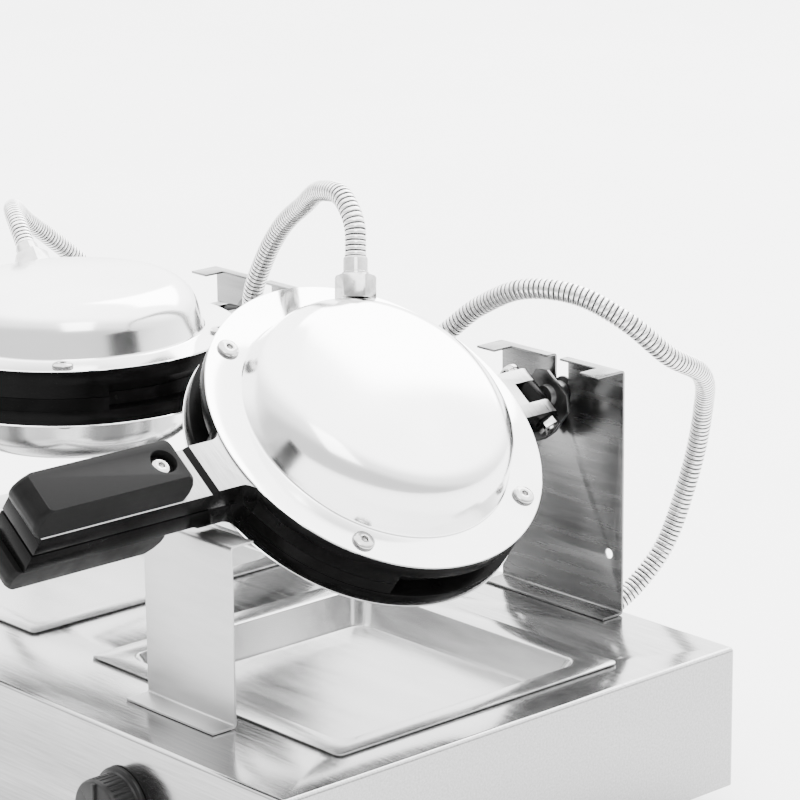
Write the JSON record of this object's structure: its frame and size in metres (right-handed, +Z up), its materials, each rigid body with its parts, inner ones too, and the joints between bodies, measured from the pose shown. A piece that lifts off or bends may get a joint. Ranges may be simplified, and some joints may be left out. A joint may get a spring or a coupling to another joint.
{
  "type": "bubble waffle maker",
  "caption": "Bubble waffle maker with tilting round moulds side by side, domed steel covers, hinged lids, black grips, ribbed hoses and lift-out drip trays on a steel base.",
  "frame": {"origin": "on the worktop under the middle of the machine's box, measured without the hoses", "axes": "+X to the right along the machine as seen from the controls, +Y away from the user, +Z up"},
  "size_m": [0.6214, 0.5516, 0.385],
  "materials": {
    "mirror_steel": "mirror-polished stainless steel",
    "brushed_steel": "brushed stainless steel",
    "fastener_steel": "plain bright steel",
    "hose_steel": "ribbed stainless steel hose",
    "cast_black": "cast aluminium with a glossy black coating",
    "grip_plastic": "moulded, fine texture",
    "knob_plastic": "satin black",
    "heater_metal": "heat-darkened sheath",
    "ceramic": "unglazed ceramic body",
    "rubber_black": "matt"
  },
  "bodies": {
    "base": {"base_housing": "brushed_steel", "base_plate": "brushed_steel", "front_left_foot": "rubber_black", "front_right_foot": "rubber_black", "rear_left_foot": "rubber_black", "rear_right_foot": "rubber_black", "gland_panel": "fastener_steel", "cord_gland": "knob_plastic", "switch_housing": "knob_plastic", "left_rear_bracket": "mirror_steel", "left_handle_rest": "mirror_steel", "left_thermostat": "ceramic", "left_upper_conduit": "hose_steel", "left_lower_conduit": "hose_steel", "right_rear_bracket": "mirror_steel", "right_handle_rest": "mirror_steel", "right_thermostat": "ceramic", "right_upper_conduit": "hose_steel", "right_lower_conduit": "hose_steel"},
    "left_head": {"left_lower_casting": "cast_black", "left_lower_cover": "mirror_steel", "left_lower_heating_element": "heater_metal", "left_lower_grip": "grip_plastic", "left_lower_grip_screw": "fastener_steel", "left_lower_gland": "fastener_steel", "left_hinge_bolt": "fastener_steel", "left_swivel_bracket": "fastener_steel"},
    "left_lid": {"left_upper_casting": "cast_black", "left_upper_cover": "mirror_steel", "left_upper_heating_element": "heater_metal", "left_upper_grip": "grip_plastic", "left_upper_grip_screw": "fastener_steel", "left_upper_gland": "fastener_steel", "left_cover_screw_1": "fastener_steel", "left_cover_screw_2": "fastener_steel", "left_cover_screw_3": "fastener_steel", "left_cover_screw_4": "fastener_steel"},
    "left_tray": {"left_drip_tray": "brushed_steel"},
    "left_knob": {"left_thermostat_knob": "knob_plastic"},
    "right_head": {"right_lower_casting": "cast_black", "right_lower_cover": "mirror_steel", "right_lower_heating_element": "heater_metal", "right_lower_grip": "grip_plastic", "right_lower_grip_screw": "fastener_steel", "right_lower_gland": "fastener_steel", "right_hinge_bolt": "fastener_steel", "right_swivel_bracket": "fastener_steel"},
    "right_lid": {"right_upper_casting": "cast_black", "right_upper_cover": "mirror_steel", "right_upper_heating_element": "heater_metal", "right_upper_grip": "grip_plastic", "right_upper_grip_screw": "fastener_steel", "right_upper_gland": "fastener_steel", "right_cover_screw_1": "fastener_steel", "right_cover_screw_2": "fastener_steel", "right_cover_screw_3": "fastener_steel", "right_cover_screw_4": "fastener_steel"},
    "right_tray": {"right_drip_tray": "brushed_steel"},
    "right_knob": {"right_thermostat_knob": "knob_plastic"},
    "rocker": {"switch_rocker": "knob_plastic"}
  },
  "joints": [
    {"name": "left_swivel", "type": "hinge", "parent": "base", "child": "left_head", "pos_m": [-0.14525, 0.03033, 0.244], "axis": [0, -1, 0], "range_deg": [-180, 0], "deforming": ["left_lower_conduit", "left_upper_conduit"]},
    {"name": "right_swivel", "type": "hinge", "parent": "base", "child": "right_head", "pos_m": [0.14525, 0.03033, 0.244], "axis": [0, -1, 0], "range_deg": [-142.4, 37.6], "deforming": ["right_lower_conduit", "right_upper_conduit"]},
    {"name": "left_lid_hinge", "type": "hinge", "parent": "left_head", "child": "left_lid", "pos_m": [-0.14525, 0.16933, 0.244], "axis": [-1, 0, 0], "range_deg": [0, 95], "deforming": ["left_upper_conduit"]},
    {"name": "right_lid_hinge", "type": "hinge", "parent": "right_head", "child": "right_lid", "pos_m": [0.14525, 0.16933, 0.244], "axis": [-0.7923, 0, 0.6101], "range_deg": [0, 70], "deforming": ["right_upper_conduit"]},
    {"name": "left_tray_lift", "type": "slide", "parent": "base", "child": "left_tray", "axis": [0, 0, 1], "range_m": [0, 0.03]},
    {"name": "right_tray_lift", "type": "slide", "parent": "base", "child": "right_tray", "axis": [0, 0, 1], "range_m": [0, 0.03]},
    {"name": "left_knob_turn", "type": "hinge", "parent": "base", "child": "left_knob", "pos_m": [-0.14525, -0.15998, 0.063], "axis": [0, 1, 0], "range_deg": [0, 270]},
    {"name": "right_knob_turn", "type": "hinge", "parent": "base", "child": "right_knob", "pos_m": [0.14525, -0.15998, 0.063], "axis": [0, 1, 0], "range_deg": [0, 270]},
    {"name": "switch_rock", "type": "hinge", "parent": "base", "child": "rocker", "pos_m": [0, -0.15618, 0.063], "axis": [1, 0, 0], "range_deg": [-20, 0]}
  ]
}
